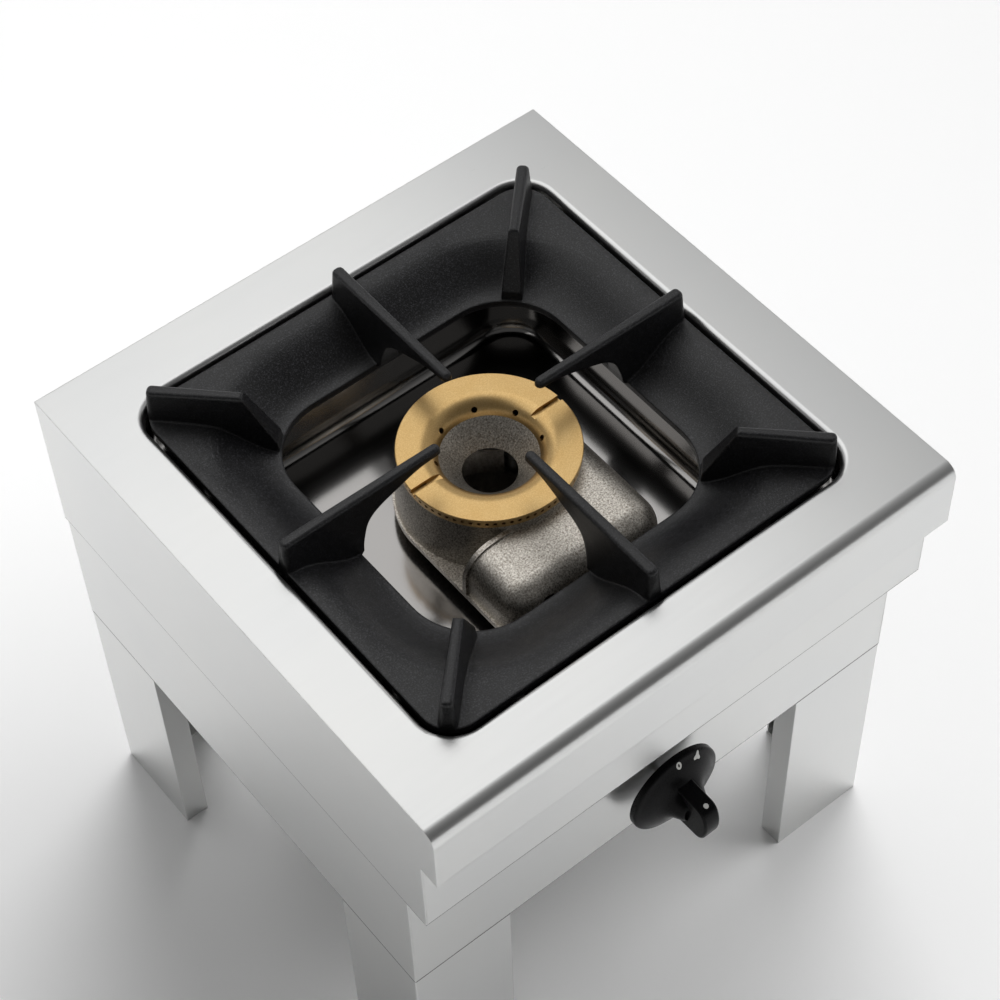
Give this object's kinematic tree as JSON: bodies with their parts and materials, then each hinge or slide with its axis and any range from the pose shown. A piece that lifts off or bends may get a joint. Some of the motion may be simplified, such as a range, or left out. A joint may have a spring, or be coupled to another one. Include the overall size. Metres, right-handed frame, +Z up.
{
  "type": "stock pot range",
  "caption": "Low gas cooker for large pots: steel body on sheet legs, deep pressed top with a cast grate over a ring burner, and a push-and-turn control knob in front.",
  "frame": {"origin": "on the floor under the middle of the worktop", "axes": "+X along the front edge, -Y towards the user, +Z up"},
  "size_m": [0.4, 0.4378, 0.437],
  "materials": {
    "stainless": "satin brushed stainless sheet",
    "galvanised": "galvanised sheet",
    "zinc_fixings": "bright zinc plate",
    "black_enamel_iron": "matt black enamel on cast iron",
    "burner_casting": "rough cast iron, bare",
    "burner_brass": "machined brass",
    "tap_brass": "turned brass",
    "copper": "drawn copper tube",
    "steel": "ground steel",
    "knob_plastic": "satin black moulded plastic"
  },
  "bodies": {
    "stove": {"worktop": "stainless", "upper_front_panel": "stainless", "knob_panel": "stainless", "left_side_panel": "stainless", "right_side_panel": "stainless", "rear_panel": "stainless", "base_panel": "stainless", "front_left_leg": "stainless", "front_right_leg": "stainless", "rear_left_leg": "stainless", "rear_right_leg": "stainless", "leg_bolts": "zinc_fixings", "leg_nuts": "zinc_fixings", "rear_screws": "zinc_fixings", "burner_body": "burner_casting", "burner_spacers": "galvanised", "burner_bolts": "zinc_fixings", "injector_holder": "tap_brass", "injector": "tap_brass", "gas_tap": "tap_brass", "tap_bonnet": "tap_brass", "tap_bracket": "galvanised", "tap_screws": "zinc_fixings", "magnet_unit": "steel", "pipe_nuts": "tap_brass", "burner_pipe": "copper", "supply_pipe": "copper", "inlet_fitting": "tap_brass", "inlet_locknut": "tap_brass", "thermocouple": "steel", "thermocouple_gland": "tap_brass", "thermocouple_lead": "copper"},
    "plug": {"tap_plug": "tap_brass", "tap_spring": "steel"},
    "control": {"knob": "knob_plastic", "knob_clip": "steel", "tap_spindle": "steel"},
    "pot_grate": {"grate": "black_enamel_iron"},
    "crown": {"burner_crown": "burner_brass"},
    "shutter": {"air_shutter": "galvanised"}
  },
  "joints": [
    {"name": "knob_turn", "type": "hinge", "parent": "stove", "child": "plug", "pos_m": [0, -0.16, 0.23], "axis": [0, -1, 0], "range_deg": [0, 130]},
    {"name": "knob_push", "type": "slide", "parent": "plug", "child": "control", "axis": [0, 1, 0], "range_m": [0, 0.004], "stiffness_N_per_m": 1500, "springref_m": -0.003},
    {"name": "grate_lift", "type": "slide", "parent": "stove", "child": "pot_grate", "axis": [0, 0, 1], "range_m": [0, 0.08]},
    {"name": "crown_lift", "type": "slide", "parent": "stove", "child": "crown", "axis": [0, 0, 1], "range_m": [0, 0.015]},
    {"name": "shutter_slide", "type": "slide", "parent": "stove", "child": "shutter", "axis": [0, 1, 0], "range_m": [-0.002, 0.002]}
  ]
}
